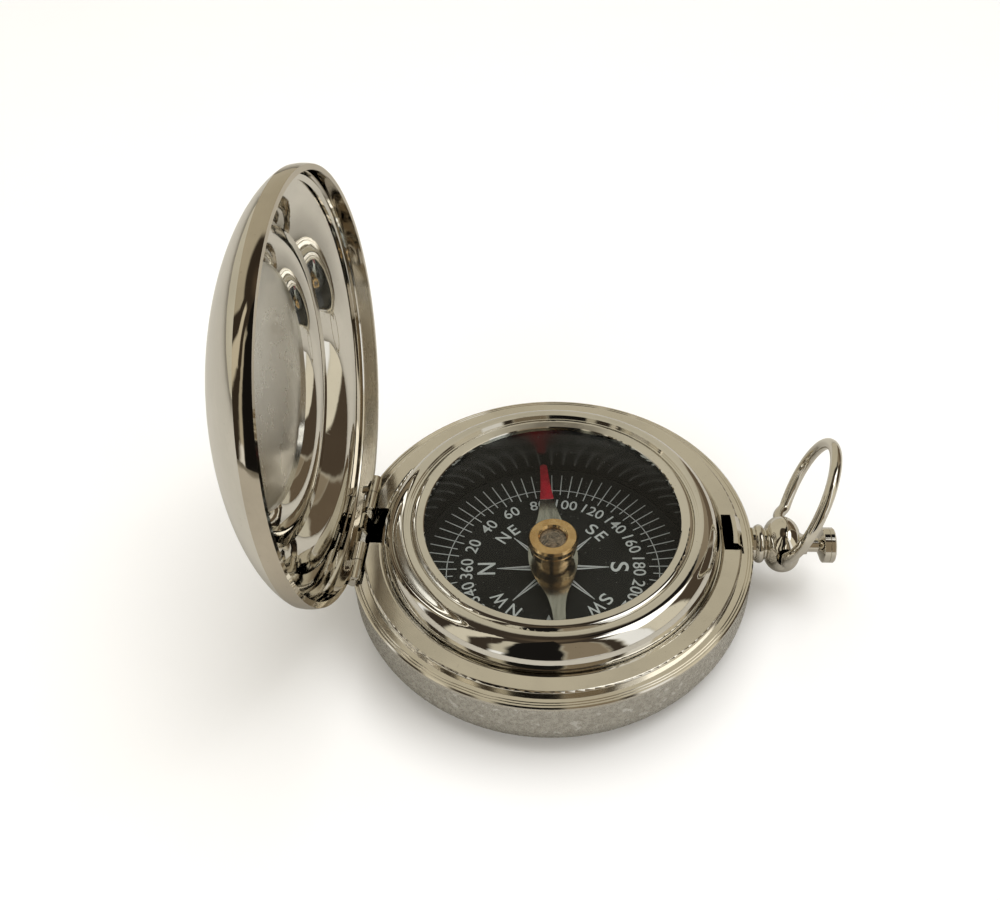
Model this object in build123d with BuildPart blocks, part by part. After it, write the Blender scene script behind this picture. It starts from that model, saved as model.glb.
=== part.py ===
from build123d import *

import os
from math import cos, radians, sin, sqrt

os.makedirs("parts", exist_ok=True)

# A push-button pocket compass: a nickel-plated brass case with a sprung domed lid.
# Origin at the centre of the flat resting face, +Z up, +X towards the push button. Millimetres.

# ---- Driving dimensions ----
case_radius = 25.0
case_height = 9.0
case_corner = 4.75
wall_radius = 23.6
floor_thickness = 1.0

plate_radius = 23.5
plate_top = case_height + 0.68
plate_bore = 21.0

dome_foot_radius = 20.9
dome_lip_radius = 18.3
dome_top = case_height + 3.6
glass_radius = 18.35
bowl_radius = 18.4
bowl_rim = 10.75
glass_thickness = 0.9
gasket_thickness = 0.25

dial_top = 2.0
dial_thickness = 0.5
dial_radius = 17.95

needle_length = 33.8
needle_half_width = 3.2
needle_level = 4.0
needle_thickness = 0.25
needle_heading = 96.5

hinge_x = -23.6
hinge_z = case_height + 0.05
hinge_half_length = 8.5
knuckle_radius = 0.85
knuckle_inner_end = 2.9
knuckle_split = 5.65
knuckle_gap = 0.1
hinge_pin_radius = 0.4
running_clearance = 0.03

lid_open_angle = 93.3
lid_seat = case_height + 0.1
lid_radius = 24.35
lid_band_height = 1.8
lid_height = 10.5
lid_wall = 0.5

pendant_z = case_height - 1.4
stem_radius = 0.9
stem_bore = 1.0
button_travel = 0.8
bead_x = 28.75
bead_half_length = 2.45
bead_radius = 3.5

bow_hole_x = 28.75
bow_hole_z = pendant_z + 1.1
bow_radius = 7.5
bow_wire_radius = 0.7
bow_lean = 71.0
bow_yaw = 11.8
bow_reach = 6.2
bow_slide = 1.45

spring_inner = 23.1
spring_outer = 23.5
spring_low = 4.8
spring_high = 6.6
catch_screw_angle = -48.0
lift_screw_angle = 132.0


# ---- Shared helpers ----
def outline_face(points, plane):
    """A flat face bounded by straight runs through the points, on a plane."""
    with BuildSketch(plane) as face:
        with BuildLine():
            Polyline(*points, close=True)
        make_face()
    return face.sketch


def turn(points, plane=Plane.XZ, axis=Axis.Z, arc=360.0, mode=Mode.ADD):
    """Adds or cuts a turned solid whose outline is a list of (radius, height) points."""
    revolve(outline_face(points, plane), axis=axis, revolution_arc=arc, mode=mode)


def block(x_range, y_range, z_range, mode=Mode.ADD):
    """Adds or cuts a rectangular block given by its three ranges."""
    size = [high - low for low, high in (x_range, y_range, z_range)]
    middle = [(high + low) / 2 for low, high in (x_range, y_range, z_range)]
    with Locations(tuple(middle)):
        Box(*size, mode=mode)


def radial_section(angle):
    """The upright plane through the Z axis at an angle from +X, read as (radius, height)."""
    turned = radians(angle)
    return Plane(origin=(0, 0, 0), x_dir=(cos(turned), sin(turned), 0), z_dir=(sin(turned), -cos(turned), 0))


def radial_face(angle, radius, height):
    """The plane facing outward at an angle, radius and height on the case wall."""
    outward = (cos(radians(angle)), sin(radians(angle)), 0)
    return Plane(origin=(radius * outward[0], radius * outward[1], height), x_dir=(0, 0, 1), z_dir=outward)


def radial_bar(angle, start, end, radius, height, mode=Mode.ADD):
    """Adds or cuts a round bar that runs outward along a radius of the case."""
    with BuildSketch(radial_face(angle, start, height)) as bar:
        Circle(radius)
    extrude(bar.sketch, amount=end - start, mode=mode)


def cross_bar(centre, y_range, radius, plane=Plane.XZ, mode=Mode.ADD):
    """Adds or cuts a round bar that lies along Y, centred on a point of the section plane."""
    with BuildSketch(plane.offset(-y_range[1])) as bar:
        with Locations(centre):
            Circle(radius)
    extrude(bar.sketch, amount=y_range[1] - y_range[0], mode=mode)


def save(builder, name):
    """Labels a finished piece and writes it as one STEP file."""
    builder.part.label = name
    export_step(builder.part, f"parts/{name}.step")


# ---- Frames of the parts that aren't upright ----
open_angle = radians(lid_open_angle)
lid_x = Vector(cos(open_angle), 0, sin(open_angle))
lid_z = Vector(-sin(open_angle), 0, cos(open_angle))
lid_centre = Vector(hinge_x, 0, hinge_z) - lid_x * hinge_x + lid_z * (lid_seat - hinge_z)
lid_section = Plane(origin=lid_centre, x_dir=lid_x, z_dir=(0, -1, 0))
lid_axis = Axis(lid_centre, lid_z)
knuckle_in_lid = (hinge_x, hinge_z - lid_seat)

pendant_axis = Axis((0, 0, pendant_z), (1, 0, 0))
bow_hole_axis = Axis((bow_hole_x, 0, bow_hole_z), (0, 1, 0))


# ---- Case body: a cup with a flat foot, a rounded corner and a ledge ----
ledge_bore = 23.25
ledge_thickness = 1.0
edge_bevel = 0.15
ridge_radii = (24.6, 24.3)
ridge_width = 0.06
hinge_gap = (-hinge_half_length - 0.3, hinge_half_length + 0.3)
hinge_floor = case_height - 1.05
notch = (-2.9, 2.9)
catch_notch_end = 23.65
hinge_edge = -22.5
inner_corner = wall_radius - 19.8

with BuildPart() as case_body:
    with BuildSketch(Plane.XZ) as case_section:
        with BuildLine():
            Line((0, 0), (case_radius - case_corner, 0))
            TangentArc((case_radius - case_corner, 0), (case_radius, case_corner), tangent=(1, 0))
            ledge_line = [(case_radius, case_corner), (case_radius, case_height - edge_bevel)]
            ledge_line.append((case_radius - edge_bevel, case_height))
            for radius in ridge_radii:
                ledge_line.append((radius + ridge_width, case_height))
                ledge_line.append((radius, case_height - ridge_width))
                ledge_line.append((radius - ridge_width, case_height))
            ledge_line.append((ledge_bore, case_height))
            ledge_line.append((ledge_bore, case_height - ledge_thickness))
            ledge_line.append((wall_radius, case_height - ledge_thickness))
            ledge_line.append((wall_radius, floor_thickness + inner_corner))
            Polyline(*ledge_line)
            TangentArc(
                (wall_radius, floor_thickness + inner_corner),
                (wall_radius - inner_corner, floor_thickness),
                tangent=(0, -1),
            )
            Polyline((wall_radius - inner_corner, floor_thickness), (0, floor_thickness), (0, 0))
        make_face()
    revolve(case_section.sketch, axis=Axis.Z)
    block((-case_radius - 1, hinge_edge), hinge_gap, (hinge_floor, case_height + 1), mode=Mode.SUBTRACT)
    block((wall_radius - 2, catch_notch_end), notch, (hinge_floor, case_height + 1), mode=Mode.SUBTRACT)
    radial_bar(0, wall_radius - 1, case_radius + 1, stem_bore, pendant_z, mode=Mode.SUBTRACT)
    screw_level = (spring_low + spring_high) / 2
    screw_radius = 0.45
    screw_end = 24.5
    for angle in (catch_screw_angle, lift_screw_angle):
        radial_bar(angle, wall_radius - 0.5, screw_end, screw_radius, screw_level, mode=Mode.SUBTRACT)
save(case_body, "case_body")


# ---- Top plate: a flat ring over the springs, slotted for the lid spring and the catch ----
plate_under = case_height + 0.06
plate_edge_round = 0.25
plate_roll = 0.55
skirt_inner = 22.65
skirt_low = 7.8

with BuildPart() as top_plate:
    with BuildSketch(Plane.XZ) as plate_section:
        with BuildLine():
            Polyline(
                (skirt_inner, plate_under),
                (skirt_inner, skirt_low),
                (ledge_bore, skirt_low),
                (ledge_bore, case_height),
                (plate_radius, case_height),
                (plate_radius, plate_top - plate_edge_round),
            )
            TangentArc(
                (plate_radius, plate_top - plate_edge_round),
                (plate_radius - plate_edge_round, plate_top),
                tangent=(0, 1),
            )
            Line((plate_radius - plate_edge_round, plate_top), (plate_bore + plate_roll, plate_top))
            TangentArc((plate_bore + plate_roll, plate_top), (plate_bore, plate_top - plate_roll), tangent=(-1, 0))
            Polyline((plate_bore, plate_top - plate_roll), (plate_bore, plate_under), (skirt_inner, plate_under))
        make_face()
    revolve(plate_section.sketch, axis=Axis.Z)
    block((-case_radius, hinge_edge), hinge_gap, (skirt_low - 1, plate_top + 1), mode=Mode.SUBTRACT)
    block((-case_radius, -plate_bore + 0.5), notch, (skirt_low - 1, plate_top + 1), mode=Mode.SUBTRACT)
    block((plate_bore + 0.2, case_radius), notch, (skirt_low - 1, plate_top + 1), mode=Mode.SUBTRACT)
save(top_plate, "top_plate")


# ---- Bezel housing: the tall polished dome round the glass ----
housing_flange = 21.3
housing_low = 8.45
housing_bore = 18.45
lip_under = bowl_rim + glass_thickness + gasket_thickness
groove_floor = lip_under + 0.3
groove_step = 0.15
groove_outer = 18.0
groove_inner = 17.5

with BuildPart() as bezel_housing:
    with BuildSketch(Plane.XZ) as housing_section:
        with BuildLine():
            Polyline(
                (housing_bore, lip_under),
                (housing_bore, housing_low),
                (housing_flange, housing_low),
                (housing_flange, plate_under - 0.01),
                (dome_foot_radius, plate_under - 0.01),
            )
            EllipticalCenterArc(
                (dome_lip_radius, plate_under - 0.01),
                dome_foot_radius - dome_lip_radius,
                dome_top - plate_under + 0.01,
                start_angle=0,
                arc_size=90,
            )
            Polyline(
                (dome_lip_radius, dome_top),
                (groove_outer, dome_top - 0.05),
                (groove_outer, groove_floor + groove_step),
                (groove_outer - 0.2, groove_floor + groove_step),
                (groove_outer - 0.2, groove_floor),
                (groove_inner, groove_floor),
                (groove_inner, lip_under),
                (housing_bore, lip_under),
            )
        make_face()
    revolve(housing_section.sketch, axis=Axis.Z)
save(bezel_housing, "bezel_housing")


# ---- Bezel ring, crystal and its gasket ----
ring_bore = 15.85
ring_outer = groove_inner - 0.02
ring_top = case_height + 3.45
ring_fall = 0.15
ring_crest = 16.75
ring_round = 0.4
ring_edge = 0.1
glass_top = bowl_rim + glass_thickness

with BuildPart() as bezel_ring:
    with BuildSketch(Plane.XZ) as ring_section:
        with BuildLine():
            Polyline(
                (ring_outer, ring_top - ring_round),
                (ring_outer, glass_top + 0.05),
                (ring_bore, glass_top + 0.05),
                (ring_bore, ring_top - ring_fall - ring_edge),
                (ring_bore + ring_edge, ring_top - ring_fall),
                (ring_crest, ring_top),
            )
            TangentArc((ring_crest, ring_top), (ring_outer, ring_top - ring_round), tangent=(1, 0))
        make_face()
    revolve(ring_section.sketch, axis=Axis.Z)
save(bezel_ring, "bezel_ring")

with BuildPart() as crystal:
    turn([
        (0, bowl_rim),
        (glass_radius, bowl_rim),
        (glass_radius, glass_top - ring_edge),
        (glass_radius - ring_edge, glass_top),
        (0, glass_top),
    ])
save(crystal, "crystal")

with BuildPart() as crystal_gasket:
    turn([
        (groove_inner, glass_top),
        (glass_radius - ring_edge, glass_top),
        (glass_radius - ring_edge, lip_under),
        (groove_inner, lip_under),
    ])
save(crystal_gasket, "crystal_gasket")


# ---- Compass bowl, dial and pivot ----
bowl_inner = 18.0
bowl_floor = dial_top - dial_thickness
post_radius = 1.6
post_spigot = 0.95
post_height = 0.5
pin_radius = 0.3
pin_tip = 6.85

with BuildPart() as compass_bowl:
    turn([
        (0, floor_thickness),
        (bowl_radius, floor_thickness),
        (bowl_radius, bowl_rim),
        (bowl_inner, bowl_rim),
        (bowl_inner, bowl_floor),
        (0, bowl_floor),
    ])
save(compass_bowl, "compass_bowl")

with BuildPart() as dial:
    turn([
        (post_spigot, bowl_floor),
        (dial_radius, bowl_floor),
        (dial_radius, dial_top),
        (post_spigot, dial_top),
    ])
save(dial, "dial")

with BuildPart() as pivot_post:
    turn([
        (pin_radius, dial_top),
        (0, dial_top),
        (0, bowl_floor),
        (post_spigot, bowl_floor),
        (post_spigot, dial_top),
        (post_radius, dial_top),
        (post_radius - 0.3, dial_top + post_height),
        (pin_radius, dial_top + post_height),
    ])
save(pivot_post, "pivot_post")

with BuildPart() as pivot_pin:
    turn([(0, dial_top), (pin_radius, dial_top), (pin_radius, pin_tip - 0.9), (0, pin_tip)])
save(pivot_pin, "pivot_pin")


# ---- Needle: a flat steel blade on a brass cap with a jewel ----
cap_foot = needle_level + needle_thickness
cap_bore = 0.8
cap_spigot = 1.2
cap_height = 4.0
cap_top = cap_foot + cap_height
needle_half = needle_length / 2
tip_round = 0.5
north_half_widths = ((16.4, 0.5), (10.3, 0.92), (6.7, 1.6), (3.6, 2.65), (0.0, needle_half_width))
south_half_widths = ((-3.4, 2.45), (-5.6, 1.45), (-9.2, 0.78), (-16.4, 0.45))
heading = radians(needle_heading)
needle_plane = Plane(origin=(0, 0, needle_level), x_dir=(cos(heading), sin(heading), 0), z_dir=(0, 0, 1))

with BuildPart() as needle:
    with BuildSketch(needle_plane) as blade:
        with BuildLine():
            one_side = north_half_widths + south_half_widths
            Spline(*one_side)
            Spline(*[(x, -y) for x, y in one_side])
            for tip, (x, y) in ((needle_half, one_side[0]), (-needle_half, one_side[-1])):
                ThreePointArc((x, y), (tip, 0), (x, -y))
        make_face()
        Circle(cap_spigot, mode=Mode.SUBTRACT)
    extrude(amount=needle_thickness)
save(needle, "needle")

with BuildPart() as needle_cap:
    turn([
        (cap_bore, needle_level),
        (cap_spigot, needle_level),
        (cap_spigot, cap_foot),
        (2.2, cap_foot),
        (2.2, cap_foot + 1.35),
        (2.9, cap_foot + 1.65),
        (2.98, cap_foot + 2.6),
        (2.78, cap_foot + 2.75),
        (2.78, cap_foot + 2.95),
        (3.2, cap_foot + 3.1),
        (3.2, cap_top - 0.3),
        (2.95, cap_top),
        (1.9, cap_top),
        (1.68, cap_top - 0.25),
        (1.68, cap_top - 1.55),
        (cap_bore, cap_top - 1.55),
    ])
save(needle_cap, "needle_cap")

with BuildPart() as cap_jewel:
    jewel_low = cap_top - 1.53
    with BuildSketch(Plane.XZ) as jewel_section:
        with BuildLine():
            Polyline(
                (0, pin_tip + 0.05),
                (0.35, jewel_low),
                (1.65, jewel_low),
                (1.65, cap_top - 0.5),
            )
            TangentArc((0, cap_top - 0.32), (1.65, cap_top - 0.5), tangent=(1, 0))
            Line((0, cap_top - 0.32), (0, pin_tip + 0.05))
        make_face()
    revolve(jewel_section.sketch, axis=Axis.Z)
save(cap_jewel, "cap_jewel")


# ---- Hinge: two knuckles on the case, two on the lid and a short pin on each side ----
def both_sides(low, high):
    """The same stretch of the hinge on the far and the near side."""
    return ((low, high), (-high, -low))


case_knuckle_span = both_sides(knuckle_inner_end, knuckle_split - knuckle_gap / 2)
lid_knuckle_span = both_sides(knuckle_split + knuckle_gap / 2, hinge_half_length)
foot_half_width = 0.5

with BuildPart() as case_knuckles:
    for span in case_knuckle_span:
        cross_bar((hinge_x, hinge_z), span, knuckle_radius)
        block((hinge_x - foot_half_width, hinge_x + foot_half_width), span, (hinge_floor, hinge_z))
        cross_bar((hinge_x, hinge_z), span, hinge_pin_radius, mode=Mode.SUBTRACT)
save(case_knuckles, "case_knuckles")

with BuildPart() as hinge_pins:
    for span in both_sides(knuckle_inner_end - 0.15, hinge_half_length + 0.1):
        cross_bar((hinge_x, hinge_z), span, hinge_pin_radius)
save(hinge_pins, "hinge_pins")


# ---- Lid, drawn in its own frame: a band, a domed shell, a ringed liner and a flat plate ----
band_inner = lid_radius - lid_wall
ridge_bore = 23.6
ridge_height = 0.3
knuckle_room = knuckle_radius + 0.15
web = ((hinge_x, hinge_x + 0.7), (0.45, 1.25))

with BuildPart() as lid_knuckles:
    for span in lid_knuckle_span:
        cross_bar(knuckle_in_lid, span, knuckle_radius, plane=lid_section)
        with BuildSketch(lid_section.offset(-span[1])) as web_section:
            with BuildLine():
                (near, far), (low, high) = web
                Polyline((near, low), (far, low), (far, high), (near, high), close=True)
            make_face()
        extrude(web_section.sketch, amount=span[1] - span[0])
        cross_bar(knuckle_in_lid, span, hinge_pin_radius + running_clearance, plane=lid_section, mode=Mode.SUBTRACT)
save(lid_knuckles, "lid_knuckles")

web_part = lid_knuckles.part
shell_radius = lid_radius - 0.1
shell_inner = shell_radius - lid_wall

with BuildPart() as lid_band:
    with BuildSketch(lid_section) as band_section:
        with BuildLine():
            Polyline(
                (shell_radius, lid_band_height),
                (band_inner, lid_band_height),
                (band_inner, ridge_height),
                (ridge_bore, ridge_height - 0.1),
                (ridge_bore, 0),
                (shell_radius, 0),
            )
            ThreePointArc((shell_radius, 0), (lid_radius, lid_band_height / 2), (shell_radius, lid_band_height))
        make_face()
    revolve(band_section.sketch, axis=lid_axis)
    cross_bar(knuckle_in_lid, hinge_gap, knuckle_room, plane=lid_section, mode=Mode.SUBTRACT)
    add(web_part, mode=Mode.SUBTRACT)
save(lid_band, "lid_band")


def dome_curve(radius, top):
    """The lid's domed curve, from its rim up to its crown."""
    rise = top - lid_band_height
    return Bezier(
        (radius, lid_band_height),
        (0.9 * radius, lid_band_height + 0.5 * rise),
        (0.45 * radius, top),
        (0, top),
    )


with BuildPart() as lid_shell:
    with BuildSketch(lid_section) as shell_section:
        with BuildLine():
            dome_curve(shell_radius, lid_height)
            dome_curve(shell_inner, lid_height - lid_wall)
            Line((shell_inner, lid_band_height), (shell_radius, lid_band_height))
            Line((0, lid_height - lid_wall), (0, lid_height))
        make_face()
    revolve(shell_section.sketch, axis=lid_axis)
save(lid_shell, "lid_shell")

liner_sheet = 0.35
liner_rim = (23.3, 1.85)
step_ring = (22.7, 2.15)
wide_ring = (17.85, 5.2)
wide_ring_crown = (19.95, 3.15)
narrow_ring = (16.95, 5.2)
narrow_ring_crown = (15.2, 5.6)
plate_seat = (13.9, 6.75)


def liner_curve(thickness):
    """The liner's ringed section, from its rim to the seat of the flat plate."""
    lifted = [(r, h + thickness) for r, h in (liner_rim, step_ring, wide_ring_crown, wide_ring, narrow_ring)]
    rim, step, crown, groove, ring = lifted
    Line(rim, step)
    ThreePointArc(step, crown, groove)
    Line(groove, ring)
    ThreePointArc(
        ring,
        (narrow_ring_crown[0], narrow_ring_crown[1] + thickness),
        (plate_seat[0], plate_seat[1] + thickness),
    )
    return rim, (plate_seat[0], plate_seat[1] + thickness)


with BuildPart() as lid_liner:
    with BuildSketch(lid_section) as liner_section:
        with BuildLine():
            low_rim, low_seat = liner_curve(0)
            high_rim, high_seat = liner_curve(liner_sheet)
            Line(low_rim, high_rim)
            Line(low_seat, high_seat)
        make_face()
    revolve(liner_section.sketch, axis=lid_axis)
save(lid_liner, "lid_liner")

with BuildPart() as lid_plate:
    turn([
        (0, plate_seat[1] + liner_sheet),
        (0, plate_seat[1] + 2 * liner_sheet),
        (plate_seat[0] + 0.6, plate_seat[1] + 2 * liner_sheet),
        (plate_seat[0] + 0.6, plate_seat[1] + liner_sheet),
    ], plane=lid_section, axis=lid_axis)
save(lid_plate, "lid_plate")


# ---- Catch: a leaf spring along the wall with a hook that stands up through the plate ----
hook_inner = 22.4
hook_top = case_height + 1.3
hook_half_angle = 6.0
hook_reach = 23.55
leaf_tail_angle = 3.0
leaf_hole = screw_radius + 0.05

with BuildPart() as catch_hook:
    turn([
        (hook_inner, spring_low),
        (spring_inner, spring_low),
        (spring_inner, case_height + 0.45),
        (hook_reach, case_height + 0.45),
        (hook_reach, case_height + 0.6),
        (hook_inner + 0.5, hook_top),
        (hook_inner, hook_top),
    ], plane=radial_section(-hook_half_angle), arc=2 * hook_half_angle)
save(catch_hook, "catch_hook")

leaf_face = [
    (spring_inner, spring_low),
    (spring_outer, spring_low),
    (spring_outer, spring_high),
    (spring_inner, spring_high),
]

with BuildPart() as catch_spring:
    first = catch_screw_angle - leaf_tail_angle
    turn(leaf_face, plane=radial_section(first), arc=hook_half_angle - first)
    radial_bar(catch_screw_angle, spring_inner - 1, spring_outer + 1, leaf_hole, screw_level, mode=Mode.SUBTRACT)
save(catch_spring, "catch_spring")


# ---- Lid spring: the same kind of leaf, ending in a tongue that leans out through the slot ----
tongue_half_width = 1.2
tongue_half_angle = 3.0

with BuildPart() as lift_spring:
    first = lift_screw_angle - leaf_tail_angle
    turn(leaf_face, plane=radial_section(first), arc=180 + tongue_half_angle - first)
    tongue = outline_face([
        (-spring_outer, spring_high - 1.6),
        (-spring_outer, spring_high),
        (-22.95, case_height - 0.6),
        (-23.97, case_height + 1.5),
        (-23.64, case_height + 1.65),
        (-22.55, case_height - 0.6),
        (-spring_inner, spring_high - 1.6),
    ], Plane.XZ.offset(-tongue_half_width))
    extrude(tongue, amount=2 * tongue_half_width)
    radial_bar(lift_screw_angle, spring_inner - 1, spring_outer + 1, leaf_hole, screw_level, mode=Mode.SUBTRACT)
save(lift_spring, "lift_spring")

screw_head_radius = 0.9
screw_head_end = 23.0
screw_head_start = 22.4
slot_half_width = 0.12
slot_depth = 0.25

with BuildPart() as spring_screws:
    for angle in (catch_screw_angle, lift_screw_angle):
        radial_bar(angle, screw_head_start, screw_head_end, screw_head_radius, screw_level)
        radial_bar(angle, screw_head_end, screw_end, screw_radius, screw_level)
        with BuildSketch(radial_face(angle, screw_head_start, screw_level)) as slot:
            Rectangle(2 * slot_half_width, 3 * screw_head_radius)
        extrude(slot.sketch, amount=slot_depth, mode=Mode.SUBTRACT)
save(spring_screws, "spring_screws")


# ---- Pendant: a rounded collar and a bead on the case wall, bored for the button's stem ----
spring_room = 1.45
spring_room_end = 27.5
collar_end = 26.5
collar_start = case_radius + 0.3
collar_radius = 2.4
collar_neck = 2.0
bead_neck = 1.85
nose_radius = 1.2
nose_end = 31.9


def about_pendant(points):
    """Turns (x, radius) points about the pendant's axis."""
    turn([(x, pendant_z + r) for x, r in points], axis=pendant_axis)


with BuildPart() as pendant_collar:
    with BuildSketch(Plane.XZ) as collar_section:
        with BuildLine():
            Polyline(
                (collar_start, pendant_z + collar_neck),
                (case_radius - 1, pendant_z + collar_neck),
                (case_radius - 1, pendant_z + stem_bore),
                (collar_start, pendant_z + stem_bore),
                (collar_start, pendant_z + spring_room),
                (collar_end, pendant_z + spring_room),
                (collar_end, pendant_z + bead_neck),
            )
            ThreePointArc(
                (collar_end, pendant_z + bead_neck),
                ((collar_start + collar_end) / 2, pendant_z + collar_radius),
                (collar_start, pendant_z + collar_neck),
            )
        make_face()
    revolve(collar_section.sketch, axis=pendant_axis)
    turn([(0, 0), (case_radius, 0), (case_radius, case_height + 3), (0, case_height + 3)], mode=Mode.SUBTRACT)
save(pendant_collar, "pendant_collar")


def bead_x_at(radius):
    """Half the bead's length at a radius from its axis."""
    return bead_half_length * sqrt(1 - (radius / bead_radius) ** 2)


bow_hole_start = 1.7
bow_hole_inner = 0.95
bow_hole_mouth = 1.2

with BuildPart() as pendant_bead:
    with BuildSketch(Plane.XZ) as bead_section:
        with BuildLine():
            left = bead_x - bead_x_at(bead_neck)
            right = bead_x + bead_x_at(nose_radius + 0.5)
            shoulder = pendant_z + nose_radius + 0.5
            Polyline(
                (left, pendant_z + bead_neck),
                (collar_end, pendant_z + bead_neck),
                (collar_end, pendant_z + spring_room),
                (spring_room_end, pendant_z + spring_room),
                (spring_room_end, pendant_z + stem_bore),
                (nose_end, pendant_z + stem_bore),
                (nose_end, pendant_z + nose_radius),
            )
            ThreePointArc(
                (left, pendant_z + bead_neck),
                (bead_x, pendant_z + bead_radius),
                (right, shoulder),
            )
            TangentArc((nose_end, pendant_z + nose_radius), (right, shoulder), tangent=(-1, 0))
        make_face()
    revolve(bead_section.sketch, axis=pendant_axis)
    for side in (1, -1):
        turn([
            (bow_hole_x, side * bow_hole_start),
            (bow_hole_x + bow_hole_inner, side * bow_hole_start),
            (bow_hole_x + bow_hole_mouth, side * (bead_radius + 0.1)),
            (bow_hole_x, side * (bead_radius + 0.1)),
        ], plane=Plane.XY.offset(bow_hole_z), axis=bow_hole_axis, mode=Mode.SUBTRACT)
save(pendant_bead, "pendant_bead")


# ---- Push button: a stem through the pendant with a shoulder and a flared head ----
stem_tip = spring_inner + 0.02
head_start = 33.3
head_end = 35.3
head_radius = 2.2
shoulder_start = 26.9
shoulder_radius = 1.3

with BuildPart() as push_button:
    about_pendant([
        (stem_tip, 0),
        (stem_tip, stem_radius - 0.3),
        (stem_tip + 0.3, stem_radius),
        (shoulder_start, stem_radius),
        (shoulder_start, shoulder_radius),
        (shoulder_start + 0.5, shoulder_radius),
        (shoulder_start + 0.5, stem_radius),
        (head_start, stem_radius),
        (head_start + 0.5, head_radius - 0.1),
        (head_start + 0.6, head_radius),
        (head_end - 0.7, head_radius),
        (head_end - 0.65, head_radius - 0.06),
        (head_end - 0.6, head_radius),
        (head_end - 0.15, head_radius),
        (head_end, head_radius - 0.15),
        (head_end, 0),
    ])
save(push_button, "push_button")

coil_radius = 1.18
coil_wire = 0.11
coil_start = case_radius + 0.3 + coil_wire
coil_length = shoulder_start - button_travel - coil_start - coil_wire - 0.03
coil_turns = 2.5

with BuildPart() as button_spring:
    with BuildLine() as coil:
        Helix(coil_length / coil_turns, coil_length, coil_radius, center=(coil_start, 0, pendant_z), direction=(1, 0, 0))
    with BuildSketch(Plane(coil.line @ 0, z_dir=coil.line % 0)):
        Circle(coil_wire)
    sweep(is_frenet=True)
save(button_spring, "button_spring")


# ---- Bow: a round wire ring whose two ends turn in to lie in the bead's holes ----
lean = radians(bow_lean)
yaw = radians(bow_yaw)
bow_across = Vector(sin(yaw), cos(yaw), 0)
bow_up = Vector(cos(lean) * cos(yaw), -cos(lean) * sin(yaw), sin(lean))
bow_hole = Vector(bow_hole_x, 0, bow_hole_z)
bow_centre = bow_hole + bow_up * bow_reach + bow_across * bow_slide
end_inner = Vector(0, 1.95, 0)
end_outer = Vector(0, 3.3, 0)
near_bend = radians(-60)
far_bend = radians(34)
ring_top = radians(-193)


def bow_point(angle):
    """The point of the ring's centreline at an angle from its lowest point."""
    return bow_centre + (bow_across * sin(angle) - bow_up * cos(angle)) * bow_radius


def bow_heading(angle):
    """The direction of the ring's centreline at an angle, towards the near bend."""
    return (bow_across * cos(angle) + bow_up * sin(angle)) * -1


with BuildPart() as bow_ring:
    with BuildLine() as centreline:
        Line(bow_hole - end_inner, bow_hole - end_outer)
        Spline(bow_hole - end_outer, bow_point(near_bend), tangents=[(0, -1, 0), bow_heading(near_bend)])
        ThreePointArc(bow_point(near_bend), bow_point(ring_top), bow_point(far_bend))
        Spline(bow_point(far_bend), bow_hole + end_outer, tangents=[bow_heading(far_bend), (0, -1, 0)])
        Line(bow_hole + end_outer, bow_hole + end_inner)
    with BuildSketch(Plane(origin=bow_hole - end_inner, z_dir=(0, -1, 0))) as wire:
        Circle(bow_wire_radius)
    sweep(wire.sketch, path=centreline.line)
save(bow_ring, "bow_ring")
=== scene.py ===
from math import cos, pi, radians, sin

import bmesh
import bpy
from mathutils import Matrix, Vector


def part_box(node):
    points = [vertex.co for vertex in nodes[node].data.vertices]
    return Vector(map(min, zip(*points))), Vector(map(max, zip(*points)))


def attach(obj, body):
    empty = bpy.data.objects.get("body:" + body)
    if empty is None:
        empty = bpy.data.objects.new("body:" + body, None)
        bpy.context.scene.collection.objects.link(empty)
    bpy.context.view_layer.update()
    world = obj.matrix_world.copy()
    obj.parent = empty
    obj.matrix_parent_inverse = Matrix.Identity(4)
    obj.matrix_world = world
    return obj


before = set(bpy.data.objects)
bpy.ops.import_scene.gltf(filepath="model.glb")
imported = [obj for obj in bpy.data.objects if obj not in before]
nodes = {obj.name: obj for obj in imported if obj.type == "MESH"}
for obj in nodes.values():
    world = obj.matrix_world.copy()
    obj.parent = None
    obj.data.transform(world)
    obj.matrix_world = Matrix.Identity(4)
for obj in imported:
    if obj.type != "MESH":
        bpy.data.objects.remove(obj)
for leftover in ("Cube", "Light", "Camera"):
    if leftover in bpy.data.objects:
        bpy.data.objects.remove(bpy.data.objects[leftover])
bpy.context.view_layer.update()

MM = 0.001
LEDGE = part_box("case_body")[1].z
DIAL_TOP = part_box("dial")[1].z
NEEDLE_HEADING = radians(96.5)


# ---------------------------------------------------------------- camera
CAMERA_PLACE = Vector((2.94, -87.95, 107.65)) * MM
CAMERA_AZIMUTH = 0.0105
CAMERA_DROP = 0.6805
CAMERA_ROLL = 0.0117
FOCAL_PIXELS = 1039.36
PICTURE_WIDTH, PICTURE_HEIGHT = 1000, 900
PRINCIPAL_POINT = (571.1, 362.4)


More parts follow.
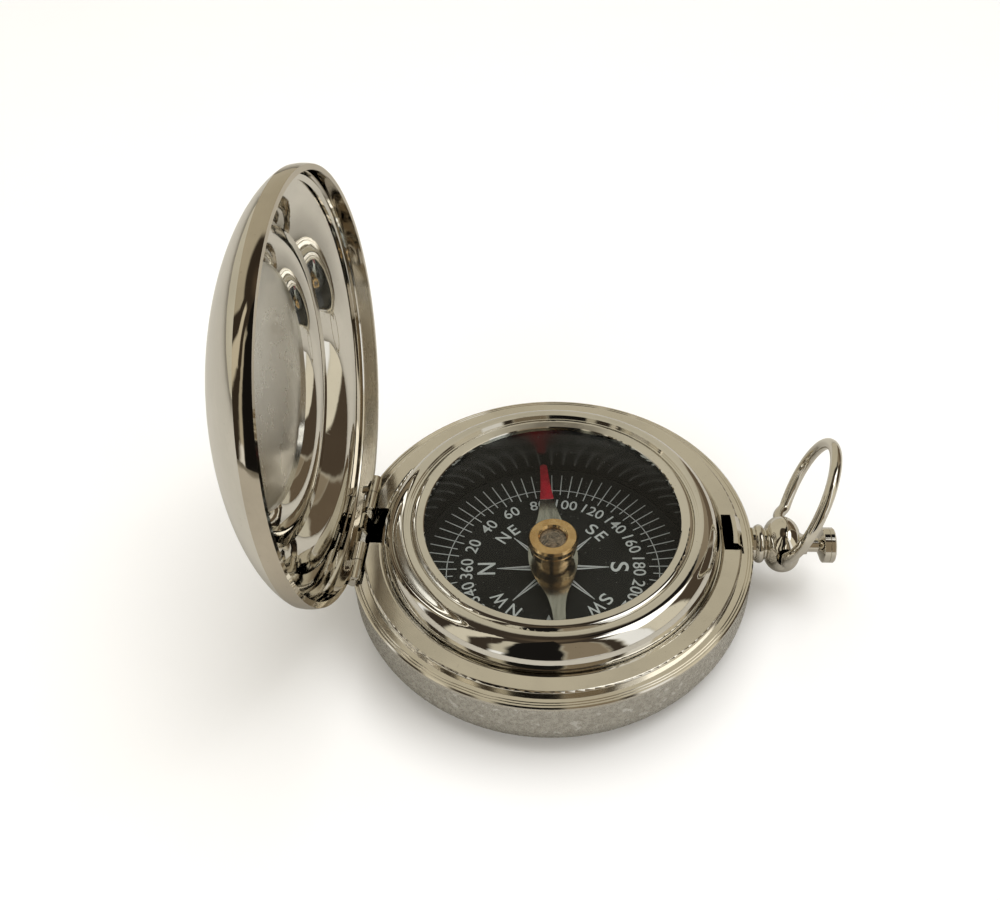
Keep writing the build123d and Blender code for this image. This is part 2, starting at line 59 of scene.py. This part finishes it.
def make_camera():
    """The camera at the viewing angle, lens and framing of the picture."""
    data = bpy.data.cameras.new("camera")
    camera = bpy.data.objects.new("camera", data)
    bpy.context.scene.collection.objects.link(camera)
    forward = Vector((
        -sin(CAMERA_AZIMUTH) * cos(CAMERA_DROP),
        cos(CAMERA_AZIMUTH) * cos(CAMERA_DROP),
        -sin(CAMERA_DROP),
    ))
    turn = forward.to_track_quat("-Z", "Y").to_matrix().to_4x4() @ Matrix.Rotation(CAMERA_ROLL, 4, "Z")
    camera.matrix_world = Matrix.Translation(CAMERA_PLACE) @ turn
    data.sensor_width = 36.0
    data.lens = FOCAL_PIXELS * data.sensor_width / PICTURE_WIDTH
    data.shift_x = (PICTURE_WIDTH / 2 - PRINCIPAL_POINT[0]) / PICTURE_WIDTH
    data.shift_y = (PRINCIPAL_POINT[1] - PICTURE_HEIGHT / 2) / PICTURE_WIDTH
    data.clip_start = 0.005
    data.clip_end = 20.0
    bpy.context.scene.camera = camera


# ---------------------------------------------------------------- node helpers
class NodeTree:
    """A node tree with short calls for the nodes it is made of. Its place output is where a point lies."""

    def __init__(self, tree, output, coordinates):
        self.tree = tree
        self.tree.nodes.clear()
        self.output = self.add(output)
        self.place = self.add("ShaderNodeTexCoord").outputs[coordinates]

    def add(self, kind, **values):
        node = self.tree.nodes.new(kind)
        for key, value in values.items():
            setattr(node, key, value)
        return node

    def put(self, socket, value):
        """Links an output to a socket, or sets the socket's own value."""
        if isinstance(value, bpy.types.NodeSocket):
            self.tree.links.new(value, socket)
        else:
            socket.default_value = value

    def math(self, operation, a, b=0.0):
        node = self.add("ShaderNodeMath", operation=operation)
        self.put(node.inputs[0], a)
        self.put(node.inputs[1], b)
        return node.outputs[0]

    def axes(self):
        node = self.add("ShaderNodeSeparateXYZ")
        self.put(node.inputs[0], self.place)
        return node.outputs

    def upright_radius(self):
        """The distance of a point from the upright line through the origin."""
        x, y, z = self.axes()
        squares = self.math("ADD", self.math("POWER", x, 2.0), self.math("POWER", y, 2.0))
        return self.math("SQRT", squares)

    def vector(self, x, y, z):
        node = self.add("ShaderNodeCombineXYZ")
        for socket, value in zip(node.inputs, (x, y, z)):
            self.put(socket, value)
        return node.outputs[0]

    def stretched(self, scale, turn=(0, 0, 0)):
        node = self.add("ShaderNodeMapping")
        self.put(node.inputs["Vector"], self.place)
        node.inputs["Scale"].default_value = scale
        node.inputs["Rotation"].default_value = turn
        return node.outputs[0]

    def noise(self, scale, detail=2.0, rough=0.5, where=None, warp=0.0):
        node = self.add("ShaderNodeTexNoise")
        self.put(node.inputs["Vector"], where or self.place)
        node.inputs["Scale"].default_value = scale
        node.inputs["Detail"].default_value = detail
        node.inputs["Roughness"].default_value = rough
        node.inputs["Distortion"].default_value = warp
        return node.outputs[0]

    def cells(self, scale):
        node = self.add("ShaderNodeTexVoronoi", feature="F1")
        self.put(node.inputs["Vector"], self.place)
        node.inputs["Scale"].default_value = scale
        return node.outputs["Distance"]

    def span(self, value, low, high, to_low=0.0, to_high=1.0, smooth=True):
        node = self.add("ShaderNodeMapRange")
        node.interpolation_type = "SMOOTHSTEP" if smooth else "LINEAR"
        self.put(node.inputs["Value"], value)
        node.inputs["From Min"].default_value = low
        node.inputs["From Max"].default_value = high
        node.inputs["To Min"].default_value = to_low
        node.inputs["To Max"].default_value = to_high
        return node.outputs["Result"]

    def blend(self, share, first, second):
        """A colour between two, each given as an output or as red, green and blue."""
        node = self.add("ShaderNodeMix", data_type="RGBA")
        self.put(node.inputs["Factor"], share)
        colours = [s for s in node.inputs if s.type == "RGBA"]
        self.put(colours[0], first if not isinstance(first, tuple) else (*first, 1.0))
        self.put(colours[1], second if not isinstance(second, tuple) else (*second, 1.0))
        return [s for s in node.outputs if s.type == "RGBA"][0]

    def mix(self, share, first, second):
        """A surface between two."""
        node = self.add("ShaderNodeMixShader")
        for socket, value in zip(node.inputs, (share, first, second)):
            self.put(socket, value)
        return node.outputs[0]

    def bump(self, height, distance, strength=1.0, normal=None):
        node = self.add("ShaderNodeBump")
        node.inputs["Strength"].default_value = strength
        node.inputs["Distance"].default_value = distance
        self.put(node.inputs["Height"], height)
        if normal is not None:
            self.put(node.inputs["Normal"], normal)
        return node.outputs[0]

    def edge(self, radius):
        """A normal that rounds the piece's sharp edges."""
        node = self.add("ShaderNodeBevel", samples=4)
        node.inputs["Radius"].default_value = radius
        return node.outputs[0]

    def surface(self, **sockets):
        """The Principled surface. Keys are socket names with _ for a space."""
        node = self.add("ShaderNodeBsdfPrincipled")
        for key, value in sockets.items():
            name = key.replace("_", " ")
            if isinstance(value, tuple) and len(value) == 3:
                value = (*value, 1.0)
            self.put(node.inputs[name], value)
        return node.outputs[0]

    def finish(self, shader):
        self.put(self.output.inputs["Surface"], shader)


class Shader(NodeTree):
    """A new material's node tree."""

    def __init__(self, name):
        self.material = bpy.data.materials.new(name)
        self.material.use_nodes = True
        super().__init__(self.material.node_tree, "ShaderNodeOutputMaterial", "Object")

    def finish(self, shader):
        super().finish(shader)
        return self.material


# ---------------------------------------------------------------- metals
TARNISH = 0.12
SPECK_SHARE = 0.22
SCRATCH_ROUGHNESS = 0.10
SCRATCH_DEPTH = 0.0006 * MM


def nickel(name, tint, dull, ripple=0.0, ripple_size=160.0):
    """Polished nickel plate: clouds of tarnish, specks, buffing scratches and ripples of the thin sheet."""
    s = Shader(name)
    clouds = s.noise(90.0, 4.0, 0.6)
    specks = s.span(s.noise(2600.0, 2.0, 0.6), 0.66, 0.74)
    darker = tuple(c * (1.0 - TARNISH) for c in tint)
    colour = s.blend(s.span(clouds, 0.35, 0.75), tint, darker)
    colour = s.blend(s.math("MULTIPLY", specks, SPECK_SHARE), colour, tuple(c * 0.45 for c in tint))
    long_way = s.stretched((220.0, 3600.0, 900.0), turn=(0.2, 0.1, 0.7))
    cross_way = s.stretched((3300.0, 260.0, 800.0), turn=(0.1, 0.3, 0.35))
    long_marks = s.noise(1.0, 3.0, 0.6, where=long_way)
    cross_marks = s.noise(1.0, 3.0, 0.6, where=cross_way)
    marks = s.math("MAXIMUM", s.span(long_marks, 0.66, 0.72), s.span(cross_marks, 0.68, 0.74))
    rough = s.span(clouds, 0.3, 0.8, dull * 0.7, dull * 1.5)
    rough = s.math("ADD", rough, s.math("MULTIPLY", marks, SCRATCH_ROUGHNESS))
    normal = s.bump(s.noise(ripple_size, 1.0, 0.4), ripple * MM) if ripple else None
    normal = s.bump(marks, SCRATCH_DEPTH, normal=normal)
    return s.finish(s.surface(Base_Color=colour, Metallic=1.0, Roughness=rough, Normal=normal))


RIM_ROUGHNESS = 0.11


def satin_case():
    """The case: a blasted, speckled side wall under a polished rim and ledge."""
    s = Shader("case_satin_nickel")
    x, y, z = s.axes()
    wall = s.span(z, LEDGE - 0.35 * MM, LEDGE - 0.55 * MM)
    clouds = s.noise(120.0, 4.0, 0.6)
    grain = s.noise(1900.0, 3.0, 0.75)
    pits = s.span(s.cells(950.0), 0.10, 0.42)
    sparkle = s.span(s.noise(820.0, 2.0, 0.7), 0.60, 0.68)
    bright = s.blend(s.span(clouds, 0.35, 0.75), (0.80, 0.765, 0.69), (0.72, 0.68, 0.60))
    dull = s.blend(s.span(grain, 0.35, 0.65), (0.55, 0.53, 0.49), (0.74, 0.725, 0.68))
    dull = s.blend(s.math("MULTIPLY", sparkle, 0.9), dull, (0.93, 0.93, 0.91))
    colour = s.blend(wall, bright, dull)
    wall_rough = s.span(grain, 0.3, 0.7, 0.20, 0.34)
    wall_rough = s.math("SUBTRACT", wall_rough, s.math("MULTIPLY", sparkle, 0.10))
    extra = s.math("MULTIPLY", wall, s.math("SUBTRACT", wall_rough, RIM_ROUGHNESS))
    rough = s.math("ADD", extra, RIM_ROUGHNESS)
    height = s.math("MULTIPLY", wall, s.math("ADD", s.math("MULTIPLY", grain, 0.5), pits))
    normal = s.bump(height, 0.012 * MM, 0.8)
    return s.finish(s.surface(Base_Color=colour, Metallic=1.0, Roughness=rough, Normal=normal))


def spring_steel():
    s = Shader("spring_steel")
    grain = s.noise(1.0, 3.0, 0.6, where=s.stretched((300.0, 300.0, 4200.0)))
    colour = s.blend(s.span(grain, 0.3, 0.7), (0.50, 0.48, 0.44), (0.62, 0.60, 0.56))
    rough = s.span(grain, 0.3, 0.7, 0.18, 0.34)
    normal = s.edge(0.04 * MM)
    return s.finish(s.surface(Base_Color=colour, Metallic=1.0, Roughness=rough, Normal=normal))


def turned_brass():
    """Lathe-turned brass with fine rings round its axis."""
    s = Shader("turned_brass")
    x, y, z = s.axes()
    radius = s.upright_radius()
    rings_per_metre = 14000.0
    outward = s.math("MULTIPLY", radius, rings_per_metre)
    upward = s.math("MULTIPLY", z, rings_per_metre)
    rings = s.noise(1.0, 2.0, 0.6, where=s.vector(outward, upward, 0.0))
    clouds = s.noise(520.0, 4.0, 0.6)
    colour = s.blend(s.span(clouds, 0.35, 0.7), (0.80, 0.55, 0.29), (0.62, 0.39, 0.18))
    rough = s.span(rings, 0.3, 0.7, 0.12, 0.26)
    normal = s.bump(rings, 0.0012 * MM, 1.0, s.edge(0.05 * MM))
    return s.finish(s.surface(Base_Color=colour, Metallic=1.0, Roughness=rough, Normal=normal))


def needle_steel():
    """Bright steel blade whose north end is dipped in red enamel."""
    s = Shader("needle_steel")
    x, y, z = s.axes()
    along_x = s.math("MULTIPLY", x, cos(NEEDLE_HEADING))
    along_y = s.math("MULTIPLY", y, sin(NEEDLE_HEADING))
    along = s.math("ADD", along_x, along_y)
    wobble = s.math("MULTIPLY", s.math("SUBTRACT", s.noise(900.0), 0.5), 0.5 * MM)
    red = s.span(s.math("ADD", along, wobble), 10.1 * MM, 10.25 * MM)
    blade_way = s.stretched((1500.0, 240.0, 240.0), turn=(0, 0, pi / 2 - NEEDLE_HEADING))
    grain = s.noise(1.0, 3.0, 0.6, where=blade_way)
    steel = s.blend(s.span(grain, 0.3, 0.7), (0.46, 0.465, 0.46), (0.34, 0.345, 0.34))
    enamel = s.blend(s.span(s.noise(1400.0, 3.0), 0.3, 0.7), (0.30, 0.008, 0.018), (0.18, 0.004, 0.012))
    colour = s.blend(red, steel, enamel)
    metal = s.span(red, 0.0, 1.0, 1.0, 0.0, smooth=False)
    rough = s.math("ADD", s.span(grain, 0.3, 0.7, 0.12, 0.22), s.math("MULTIPLY", red, 0.18))
    normal = s.bump(grain, 0.0008 * MM, 1.0, s.edge(0.05 * MM))
    return s.finish(s.surface(Base_Color=colour, Metallic=metal, Roughness=rough, Normal=normal))


# ---------------------------------------------------------------- other materials
def dial_black():
    s = Shader("dial_black")
    grain = s.noise(5200.0, 3.0, 0.6)
    clouds = s.noise(160.0, 4.0, 0.6)
    dust = s.span(s.noise(3000.0, 1.0, 0.4), 0.735, 0.75)
    colour = s.blend(s.span(clouds, 0.3, 0.7), (0.0045, 0.0048, 0.0048), (0.0085, 0.0088, 0.0085))
    colour = s.blend(s.math("MULTIPLY", dust, 0.5), colour, (0.25, 0.25, 0.24))
    rough = s.span(grain, 0.3, 0.7, 0.42, 0.58)
    normal = s.bump(grain, 0.002 * MM)
    return s.finish(s.surface(Base_Color=colour, Roughness=rough, Specular_IOR_Level=0.15, Normal=normal))


def dial_ink():
    s = Shader("dial_ink")
    grain = s.noise(6000.0, 3.0, 0.7)
    colour = s.blend(s.span(grain, 0.35, 0.7), (0.46, 0.47, 0.46), (0.33, 0.335, 0.33))
    return s.finish(s.surface(Base_Color=colour, Roughness=s.span(grain, 0.3, 0.7, 0.5, 0.65)))


def clear_glass():
    """Flat clear glass: it mirrors by the angle and shows a faint haze of smears."""
    s = Shader("clear_glass")
    smear = s.noise(1.0, 4.0, 0.6, where=s.stretched((220.0, 90.0, 90.0), turn=(0, 0, 0.5)))
    clear = s.add("ShaderNodeBsdfTransparent")
    clear.inputs["Color"].default_value = (0.97, 0.985, 0.98, 1.0)
    mirror = s.add("ShaderNodeBsdfGlossy")
    mirror.inputs["Color"].default_value = (1.0, 1.0, 1.0, 1.0)
    s.put(mirror.inputs["Roughness"], s.span(smear, 0.35, 0.75, 0.01, 0.06))
    angle = s.add("ShaderNodeFresnel")
    angle.inputs["IOR"].default_value = 1.5
    outside = s.math("SUBTRACT", 1.0, s.add("ShaderNodeNewGeometry").outputs["Backfacing"])
    shine = s.math("ADD", s.math("MULTIPLY", angle.outputs[0], 0.5), s.span(smear, 0.5, 0.8, 0.0, 0.006))
    share = s.math("MULTIPLY", shine, outside)
    return s.finish(s.mix(share, clear.outputs[0], mirror.outputs[0]))


def dark_jewel():
    s = Shader("dark_jewel")
    veins = s.noise(1300.0, 4.0, 0.7, warp=1.5)
    colour = s.blend(s.span(veins, 0.35, 0.65), (0.03, 0.022, 0.016), (0.16, 0.11, 0.07))
    rough = s.span(veins, 0.3, 0.7, 0.05, 0.2)
    normal = s.bump(veins, 0.02 * MM)
    return s.finish(s.surface(Base_Color=colour, Roughness=rough, Coat_Weight=0.6, Normal=normal))


def black_rubber():
    s = Shader("black_rubber")
    grain = s.noise(3800.0, 3.0, 0.6)
    colour = s.blend(s.span(grain, 0.3, 0.7), (0.012, 0.012, 0.012), (0.03, 0.03, 0.03))
    return s.finish(s.surface(Base_Color=colour, Roughness=s.span(grain, 0.3, 0.7, 0.6, 0.85)))


def dress(name, material):
    """Gives a CAD node its material."""
    node = nodes[name]
    node.data.materials.clear()
    node.data.materials.append(material)


# ---------------------------------------------------------------- building helpers
def add_print(name, mesh, material):
    """Adds a printed mark that lies on the dial."""
    mesh.materials.clear()
    mesh.materials.append(material)
    piece = bpy.data.objects.new(name, mesh)
    bpy.context.scene.collection.objects.link(piece)
    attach(piece, "case")


# ---------------------------------------------------------------- dial print
PRINT_LIFT = 0.012
CIRCLE_RADIUS = 13.8
TICK_OUTER = 16.8
TICK_INNER_TEN = 12.5
TICK_INNER_FIVE = 13.0
TICK_HALF_WIDTH = 0.07
NUMERAL_RADIUS = 11.2
NUMERAL_HEIGHT = 1.68
MAIN_LETTER_RADIUS, MAIN_LETTER_HEIGHT = 8.65, 2.4
PAIR_RADIUS, PAIR_HEIGHT = 8.4, 1.85
LETTER_WIDTH = {"N": 0.9, "E": 1.0, "S": 1.2, "W": 0.82}
PAIR_LETTERS = [(45, "NE", 6.6), (135, "SE", 5.9), (225, "SW", 6.9), (315, "NW", 8.5)]
CARD_TURN = -2.5
CARD_SHIFT = Vector((0, 0.12, 0))
CIRCLE_HALF_WIDTH = 0.06
CIRCLE_STEPS = 180
CAPITAL_SHARE = 0.73
STAR_TIP = 7.3
STAR_FOOT = 1.8
STAR_SPLIT = 0.13
STAR_HALF_WIDTH = 0.5


def dial_direction(bearing):
    """The unit vector from the dial's centre to a bearing: north is at -X and bearings run clockwise."""
    angle = radians(180.0 - bearing - CARD_TURN)
    return Vector((cos(angle), sin(angle), 0))


def dial_print(material):
    """The white print: degree ticks, the thin circle and the star with its split points."""
    verts, faces = [], []
    top = DIAL_TOP / MM + PRINT_LIFT

    def patch(points):
        start = len(verts)
        verts.extend((p.x + CARD_SHIFT.x, p.y + CARD_SHIFT.y, top) for p in points)
        faces.append(tuple(range(start, len(verts))))

    for degree in range(0, 360, 5):
        out = dial_direction(degree)
        side = Vector((-out.y, out.x, 0)) * TICK_HALF_WIDTH
        inner = TICK_INNER_FIVE if degree % 10 else TICK_INNER_TEN
        patch([out * inner - side, out * TICK_OUTER - side, out * TICK_OUTER + side, out * inner + side])
    inside, outside = CIRCLE_RADIUS - CIRCLE_HALF_WIDTH, CIRCLE_RADIUS + CIRCLE_HALF_WIDTH
    for i in range(CIRCLE_STEPS):
        a, b = (dial_direction(360.0 * j / CIRCLE_STEPS) for j in (i, i + 1))
        patch([a * inside, b * inside, b * outside, a * outside])
    for point in range(8):
        out = dial_direction(45.0 * point)
        side = Vector((-out.y, out.x, 0))
        tip, foot = out * STAR_TIP, out * STAR_FOOT
        for sign in (1, -1):
            near, far = side * sign * STAR_SPLIT, side * sign * STAR_HALF_WIDTH
            patch([foot + near, foot + far, tip + near * 0.3, tip])
    mesh = bpy.data.meshes.new("dial_print")
    mesh.from_pydata([Vector(v) * MM for v in verts], [], faces)
    mesh.validate()
    bm = bmesh.new()
    bm.from_mesh(mesh)
    for face in bm.faces:
        if face.normal.z < 0:
            face.normal_flip()
    bm.to_mesh(mesh)
    bm.free()
    add_print("dial_print", mesh, material)


def dial_text(name, words, bearing, radius, height, material, widen=1.0, bold=0.012):
    """One word or number on the dial, its top outward, centred on a bearing."""
    curve = bpy.data.curves.new(name, "FONT")
    curve.body = words
    curve.align_x = "CENTER"
    curve.align_y = "CENTER"
    curve.size = height * MM / CAPITAL_SHARE
    curve.space_character = 1.02
    curve.offset = bold * MM
    text = bpy.data.objects.new(name, curve)
    bpy.context.scene.collection.objects.link(text)
    bpy.context.view_layer.update()
    mesh = bpy.data.meshes.new_from_object(text)
    bpy.data.objects.remove(text)
    lows = [min(v.co[i] for v in mesh.vertices) for i in (0, 1)]
    highs = [max(v.co[i] for v in mesh.vertices) for i in (0, 1)]
    centring = Matrix.Translation((-(lows[0] + highs[0]) / 2, -(lows[1] + highs[1]) / 2, 0))
    squeeze = Matrix.Diagonal((widen, 1, 1, 1))
    out = dial_direction(bearing)
    turn = Matrix(((out.y, out.x, 0), (-out.x, out.y, 0), (0, 0, 1))).to_4x4()
    spot = (out * radius + CARD_SHIFT) * MM
    spot.z = DIAL_TOP + PRINT_LIFT * MM
    mesh.transform(Matrix.Translation(spot) @ turn @ squeeze @ centring)
    add_print(name, mesh, material)


# ---------------------------------------------------------------- surroundings
FLOOR_HALF = 3.0


def make_floor():
    """A plain pale floor that melts into the backdrop; its mirror image is a darker copy with painted shade
    near the case.
    """
    corners = [(sx * FLOOR_HALF, sy * FLOOR_HALF, 0) for sx, sy in ((-1, -1), (1, -1), (1, 1), (-1, 1))]
    mesh = bpy.data.meshes.new("floor")
    mesh.from_pydata(corners, [], [(0, 1, 2, 3)])
    s = Shader("pale_floor")
    grain = s.noise(60.0, 4.0, 0.6)
    seen = s.surface(Base_Color=s.blend(grain, (0.92, 0.93, 0.95), (0.95, 0.96, 0.98)), Roughness=1.0)
    away = s.upright_radius()
    # Painted shade: the floor the metal mirrors is a darker copy of the pale floor, darkest near the case
    # and lighter farther out.
    shaded = s.blend(grain, (0.37, 0.36, 0.335), (0.43, 0.415, 0.385))
    lit = s.blend(grain, (0.48, 0.465, 0.43), (0.55, 0.535, 0.50))
    mirrored = s.surface(Base_Color=s.blend(s.span(away, 0.032, 0.060), shaded, lit), Roughness=1.0)
    backdrop = s.add("ShaderNodeEmission")
    s.put(backdrop.inputs["Color"], s.blend(grain, (0.98, 0.98, 0.98), (1.0, 1.0, 1.0)))
    seen = s.mix(s.span(away, 0.15, 0.70), seen, backdrop.outputs[0])
    camera_ray = s.add("ShaderNodeLightPath").outputs["Is Camera Ray"]
    mesh.materials.append(s.finish(s.mix(camera_ray, mirrored, seen)))
    floor = bpy.data.objects.new("floor", mesh)
    floor.location.z = -0.02 * MM
    bpy.context.scene.collection.objects.link(floor)


BLACK, DARK = (0.010, 0.009, 0.008), (0.045, 0.034, 0.024)
UMBER, BROWN = (0.072, 0.052, 0.034), (0.13, 0.095, 0.06)
TAN, CREAM, WHITE, SUN = (0.25, 0.20, 0.135), (0.72, 0.66, 0.52), (0.95, 0.94, 0.90), (1.9, 1.88, 1.8)
ALL_ROUND = (-190.0, 190.0)
WINDOW_SOFTNESS = 2.0
# Each bright or dark part of the room: its colour, then its span in degrees round from the viewer towards
# the push button's side, then its span in degrees above the floor.
ROOM_WINDOWS = [
    (WHITE, (-81.0, -75.0), (-5.0, 22.0)),
    (DARK, (-75.0, -60.0), (-10.0, 70.0)),
    (CREAM, (-60.0, -47.0), (-10.0, 70.0)),
    (DARK, (-46.0, -33.0), (-10.0, 80.0)),
    (WHITE, (-33.0, -25.0), (-10.0, 8.0)),
    (BLACK, (-25.0, 8.0), (-10.0, 90.0)),
    (TAN, (9.0, 33.0), (-10.0, 72.0)),
    (WHITE, (8.0, 32.0), (-10.0, 1.0)),
    (DARK, (34.0, 42.0), (-10.0, 76.0)),
    (WHITE, (43.0, 60.0), (-10.0, 60.0)),
    (CREAM, (61.0, 85.0), (-10.0, 44.0)),
    (UMBER, (86.0, 120.0), (-10.0, 44.0)),
    (SUN, (60.0, 118.0), (46.0, 76.0)),
    (BROWN, (121.0, 155.0), (-10.0, 26.0)),
    (TAN, (121.0, 155.0), (26.0, 50.0)),
    (BLACK, (121.0, 155.0), (50.0, 80.0)),
]


def make_world():
    """A soft room that the metal mirrors: warm walls, a dark ceiling and the windows above."""
    world = bpy.data.worlds.new("room")
    bpy.context.scene.world = world
    world.use_nodes = True
    s = NodeTree(world.node_tree, "ShaderNodeOutputWorld", "Generated")
    x, y, z = s.axes()
    side = s.math("MULTIPLY", s.math("ARCTAN2", x, s.math("MULTIPLY", y, -1.0)), 180.0 / pi)
    rise = s.math("MULTIPLY", s.math("ARCSINE", z), 180.0 / pi)
    wobble = s.math("SUBTRACT", s.noise(2.2, 2.0, 0.5), 0.5)
    side = s.math("ADD", side, s.math("MULTIPLY", wobble, 9.0))
    rise = s.math("ADD", rise, s.math("MULTIPLY", wobble, 7.0))
    colour = s.blend(s.noise(1.6, 3.0, 0.5), (0.60, 0.55, 0.43), (0.46, 0.42, 0.32))

    def within(value, limits, soft):
        above = s.span(value, limits[0] - soft, limits[0] + soft)
        below = s.span(value, limits[1] + soft, limits[1] - soft)
        return s.math("MULTIPLY", above, below)

    def window(colour, glow, sides, rises, soft=WINDOW_SOFTNESS):
        share = s.math("MULTIPLY", within(side, sides, soft), within(rise, rises, soft))
        return s.blend(share, colour, glow)

    colour = window(colour, DARK, ALL_ROUND, (63.0, 99.0), soft=3.0)
    colour = window(colour, BROWN, ALL_ROUND, (84.0, 105.0), soft=8.0)
    for glow, sides, rises in ROOM_WINDOWS:
        colour = window(colour, glow, sides, rises)
    background = s.add("ShaderNodeBackground")
    s.put(background.inputs["Color"], colour)
    plain = s.add("ShaderNodeBackground")
    plain.inputs["Color"].default_value = (1.0, 1.0, 1.0, 1.0)
    camera_ray = s.add("ShaderNodeLightPath").outputs["Is Camera Ray"]
    s.finish(s.mix(camera_ray, background.outputs[0], plain.outputs[0]))


LIGHT_COLOUR = (1.0, 0.985, 0.96)


def softbox(name, place, size, power):
    """A soft square light that points at the compass and isn't mirrored in it."""
    data = bpy.data.lights.new(name, "AREA")
    data.shape = "SQUARE"
    data.size = size
    data.energy = power
    data.color = LIGHT_COLOUR
    light = bpy.data.objects.new(name, data)
    light.location = place
    light.rotation_euler = (-Vector(place)).to_track_quat("-Z", "Y").to_euler()
    light.visible_glossy = False
    bpy.context.scene.collection.objects.link(light)


# ---------------------------------------------------------------- the compass
make_camera()
make_world()
make_floor()
softbox("top_softbox", (0.05, 0.10, 0.70), size=0.7, power=4.2)
softbox("front_softbox", (-0.25, -0.55, 0.45), size=0.5, power=1.8)
bpy.context.scene.view_settings.view_transform = "Standard"

warm = (0.80, 0.765, 0.69)
bright = (0.83, 0.81, 0.76)
fitting = nickel("fitting_nickel", warm, dull=0.05)
plate = nickel("plate_nickel", warm, dull=0.11)
bezel = nickel("bezel_nickel", bright, dull=0.035, ripple=0.03, ripple_size=230.0)
dome = nickel("lid_nickel", bright, dull=0.06, ripple=0.02, ripple_size=90.0)
band = nickel("lid_band_nickel", (0.63, 0.575, 0.485), dull=0.05, ripple=0.012, ripple_size=150.0)
liner = nickel("lid_liner_nickel", bright, dull=0.045, ripple=0.05, ripple_size=110.0)
flat = nickel("lid_plate_nickel", (0.80, 0.80, 0.77), dull=0.29, ripple=0.006, ripple_size=420.0)
bowl = nickel("bowl_nickel", (0.25, 0.245, 0.24), dull=0.17, ripple=0.003, ripple_size=260.0)
steel = spring_steel()
brass = turned_brass()
black = dial_black()
ink = dial_ink()

finishes = {
    satin_case(): ["case_body"],
    plate: ["top_plate"],
    bezel: ["bezel_housing", "bezel_ring"],
    fitting: ["case_knuckles", "lid_knuckles", "hinge_pins", "pendant_collar", "pendant_bead",
              "push_button", "bow_ring", "catch_hook", "lift_spring"],
    dome: ["lid_shell"],
    band: ["lid_band"],
    liner: ["lid_liner"],
    flat: ["lid_plate"],
    bowl: ["compass_bowl"],
    steel: ["catch_spring", "button_spring", "spring_screws", "pivot_pin"],
    brass: ["needle_cap", "pivot_post"],
    needle_steel(): ["needle"],
    dark_jewel(): ["cap_jewel"],
    clear_glass(): ["crystal"],
    black_rubber(): ["crystal_gasket"],
    black: ["dial"],
}
for material, names in finishes.items():
    for name in names:
        dress(name, material)

dial_print(ink)
for number in range(20, 361, 20):
    dial_text(f"dial_number_{number}", str(number), number, NUMERAL_RADIUS, NUMERAL_HEIGHT, ink)
for bearing, letter in zip((0, 90, 180, 270), "NESW"):
    dial_text(f"dial_letter_{letter}", letter, bearing, MAIN_LETTER_RADIUS, MAIN_LETTER_HEIGHT, ink,
              widen=LETTER_WIDTH[letter], bold=0.03)
for bearing, letters, spread in PAIR_LETTERS:
    for letter, side in zip(letters, (-spread, spread)):
        dial_text(f"dial_letter_{letters}_{letter}", letter, bearing + side, PAIR_RADIUS, PAIR_HEIGHT, ink,
                  widen=LETTER_WIDTH[letter], bold=0.02)
